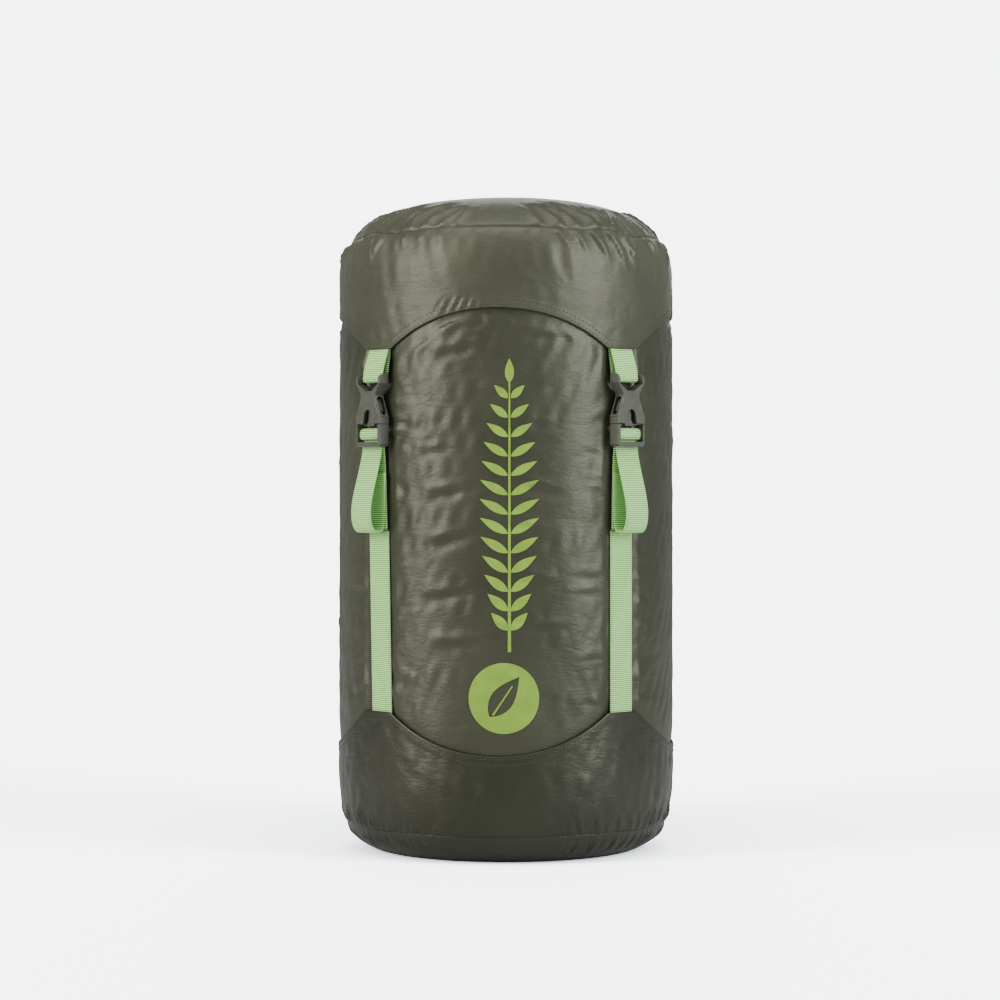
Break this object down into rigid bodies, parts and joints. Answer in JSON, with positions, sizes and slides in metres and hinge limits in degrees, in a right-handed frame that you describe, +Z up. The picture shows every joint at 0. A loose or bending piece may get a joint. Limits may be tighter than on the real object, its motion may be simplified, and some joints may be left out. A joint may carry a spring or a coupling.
{
  "type": "compression sack",
  "caption": "Round stuffed fabric sack under a cap lid, drawn together by webbing straps with side-release buckles and pull loops.",
  "frame": {"origin": "centre of the base, on the surface the sack stands on", "axes": "+Z up along the sack's length, printed front towards -Y, +X to the right as seen from the front"},
  "size_m": [0.2302, 0.2302, 0.447],
  "materials": {
    "sack_cloth": "satin",
    "lid_cloth": "satin",
    "base_cloth": "satin",
    "stuffing": "matte",
    "seam_tape": "matte",
    "webbing": "matte",
    "cord": "matte",
    "buckle_plastic": "satin",
    "lock_plastic": "satin",
    "spring_steel": "satin"
  },
  "bodies": {
    "sack": {"packed_load": "stuffing", "sack_body": "sack_cloth", "base_panel": "base_cloth", "base_cap": "base_cloth", "base_seam_tape": "seam_tape", "lower_strap_front_right": "webbing", "lower_strap_back_right": "webbing", "lower_strap_back_left": "webbing", "lower_strap_front_left": "webbing"},
    "mouth": {"mouth_collar": "sack_cloth", "mouth_hem": "sack_cloth", "drawcord": "cord", "cord_lock_barrel": "lock_plastic", "cord_lock_spring": "spring_steel"},
    "cord_lock_button": {"cord_lock_button": "lock_plastic"},
    "lid": {"lid_skirt": "lid_cloth", "lid_panel": "lid_cloth", "lid_seam_tape": "seam_tape", "upper_strap_front_right": "webbing", "socket_front_right": "buckle_plastic", "upper_strap_back_right": "webbing", "socket_back_right": "buckle_plastic", "upper_strap_back_left": "webbing", "socket_back_left": "buckle_plastic", "upper_strap_front_left": "webbing", "socket_front_left": "buckle_plastic"},
    "plug_front_right": {"plug_front_right": "buckle_plastic", "adjuster_strap_front_right": "webbing"},
    "prong_front_right_left": {"prong_front_right_left": "buckle_plastic"},
    "prong_front_right_right": {"prong_front_right_right": "buckle_plastic"},
    "plug_back_right": {"plug_back_right": "buckle_plastic", "adjuster_strap_back_right": "webbing"},
    "prong_back_right_left": {"prong_back_right_left": "buckle_plastic"},
    "prong_back_right_right": {"prong_back_right_right": "buckle_plastic"},
    "plug_back_left": {"plug_back_left": "buckle_plastic", "adjuster_strap_back_left": "webbing"},
    "prong_back_left_left": {"prong_back_left_left": "buckle_plastic"},
    "prong_back_left_right": {"prong_back_left_right": "buckle_plastic"},
    "plug_front_left": {"plug_front_left": "buckle_plastic", "adjuster_strap_front_left": "webbing"},
    "prong_front_left_left": {"prong_front_left_left": "buckle_plastic"},
    "prong_front_left_right": {"prong_front_left_right": "buckle_plastic"}
  },
  "joints": [
    {"name": "lid_cinch", "type": "slide", "parent": "sack", "child": "mouth", "axis": [0, 0, 1], "range_m": [-0.07, 0], "deforming": ["sack_body", "packed_load", "lower_strap_front_right", "lower_strap_back_right", "lower_strap_back_left", "lower_strap_front_left"]},
    {"name": "lid_lift", "type": "slide", "parent": "mouth", "child": "lid", "axis": [0, 0, 1], "range_m": [0, 0.15]},
    {"name": "release_front_right", "type": "slide", "parent": "mouth", "child": "plug_front_right", "axis": [0, 0, -1], "range_m": [0, 0.03], "deforming": ["prong_front_right_left", "prong_front_right_right"]},
    {"name": "squeeze_front_right_right", "type": "hinge", "parent": "plug_front_right", "child": "prong_front_right_right", "pos_m": [0.08973, -0.07856, 0.29], "axis": [0.7071, -0.7071, 0], "range_deg": [0, 7], "stiffness_Nm_per_rad": 0.05},
    {"name": "squeeze_front_right_left", "type": "hinge", "parent": "plug_front_right", "child": "prong_front_right_left", "pos_m": [0.07856, -0.08973, 0.29], "axis": [0.7071, -0.7071, 0], "range_deg": [-7, 0], "stiffness_Nm_per_rad": 0.05},
    {"name": "release_back_right", "type": "slide", "parent": "mouth", "child": "plug_back_right", "axis": [0, 0, -1], "range_m": [0, 0.03], "deforming": ["prong_back_right_left", "prong_back_right_right"]},
    {"name": "squeeze_back_right_right", "type": "hinge", "parent": "plug_back_right", "child": "prong_back_right_right", "pos_m": [0.07856, 0.08973, 0.29], "axis": [0.7071, 0.7071, 0], "range_deg": [0, 7], "stiffness_Nm_per_rad": 0.05},
    {"name": "squeeze_back_right_left", "type": "hinge", "parent": "plug_back_right", "child": "prong_back_right_left", "pos_m": [0.08973, 0.07856, 0.29], "axis": [0.7071, 0.7071, 0], "range_deg": [-7, 0], "stiffness_Nm_per_rad": 0.05},
    {"name": "release_back_left", "type": "slide", "parent": "mouth", "child": "plug_back_left", "axis": [0, 0, -1], "range_m": [0, 0.03], "deforming": ["prong_back_left_left", "prong_back_left_right"]},
    {"name": "squeeze_back_left_right", "type": "hinge", "parent": "plug_back_left", "child": "prong_back_left_right", "pos_m": [-0.08973, 0.07856, 0.29], "axis": [-0.7071, 0.7071, 0], "range_deg": [0, 7], "stiffness_Nm_per_rad": 0.05},
    {"name": "squeeze_back_left_left", "type": "hinge", "parent": "plug_back_left", "child": "prong_back_left_left", "pos_m": [-0.07856, 0.08973, 0.29], "axis": [-0.7071, 0.7071, 0], "range_deg": [-7, 0], "stiffness_Nm_per_rad": 0.05},
    {"name": "release_front_left", "type": "slide", "parent": "mouth", "child": "plug_front_left", "axis": [0, 0, -1], "range_m": [0, 0.03], "deforming": ["prong_front_left_left", "prong_front_left_right"]},
    {"name": "squeeze_front_left_right", "type": "hinge", "parent": "plug_front_left", "child": "prong_front_left_right", "pos_m": [-0.07856, -0.08973, 0.29], "axis": [-0.7071, -0.7071, 0], "range_deg": [0, 7], "stiffness_Nm_per_rad": 0.05},
    {"name": "squeeze_front_left_left", "type": "hinge", "parent": "plug_front_left", "child": "prong_front_left_left", "pos_m": [-0.08973, -0.07856, 0.29], "axis": [-0.7071, -0.7071, 0], "range_deg": [-7, 0], "stiffness_Nm_per_rad": 0.05},
    {"name": "cord_lock_press", "type": "slide", "parent": "mouth", "child": "cord_lock_button", "axis": [-1, 0, 0], "range_m": [0, 0.002], "stiffness_N_per_m": 800, "deforming": ["cord_lock_spring"]}
  ],
  "couplings": [
    {"joint": "squeeze_front_right_left", "follows": "squeeze_front_right_right", "ratio": -1},
    {"joint": "squeeze_back_right_left", "follows": "squeeze_back_right_right", "ratio": -1},
    {"joint": "squeeze_back_left_left", "follows": "squeeze_back_left_right", "ratio": -1},
    {"joint": "squeeze_front_left_left", "follows": "squeeze_front_left_right", "ratio": -1}
  ]
}
